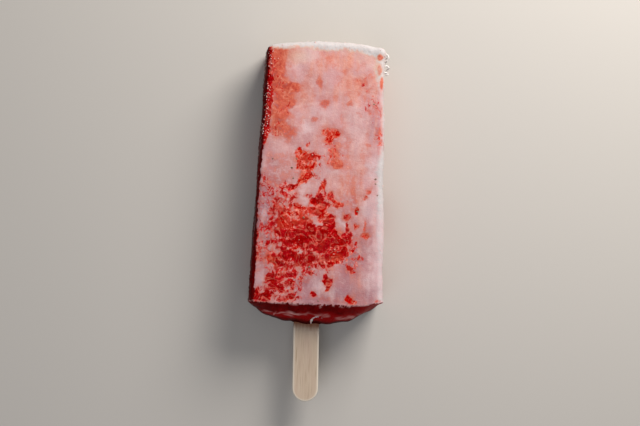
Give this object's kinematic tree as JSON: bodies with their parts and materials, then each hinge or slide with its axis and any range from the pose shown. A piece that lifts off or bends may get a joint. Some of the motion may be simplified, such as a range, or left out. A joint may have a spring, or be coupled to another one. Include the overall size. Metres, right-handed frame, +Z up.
{
  "type": "ice pop",
  "caption": "Rectangular frozen dessert bar of cream and crushed strawberry on a flat wooden stick, lying on its back.",
  "frame": {"origin": "under the middle of the whole pop's box, on the surface that the back face rests on", "axes": "+Y along the pop from the stick's end to the tip, +X across it to the right of the front face seen tip up, +Z up out of the front face"},
  "size_m": [0.0524, 0.1402, 0.0242],
  "materials": {
    "strawberry_cream_ice": "frozen cream marbled with crushed strawberry, satin where it is creamy and wet where it is red",
    "birch": "bare sliced birch with fine straight grain, stained pink where it leaves the ice"
  },
  "bodies": {
    "root": {"frozen_block": "strawberry_cream_ice", "stick": "birch"}
  },
  "joints": []
}
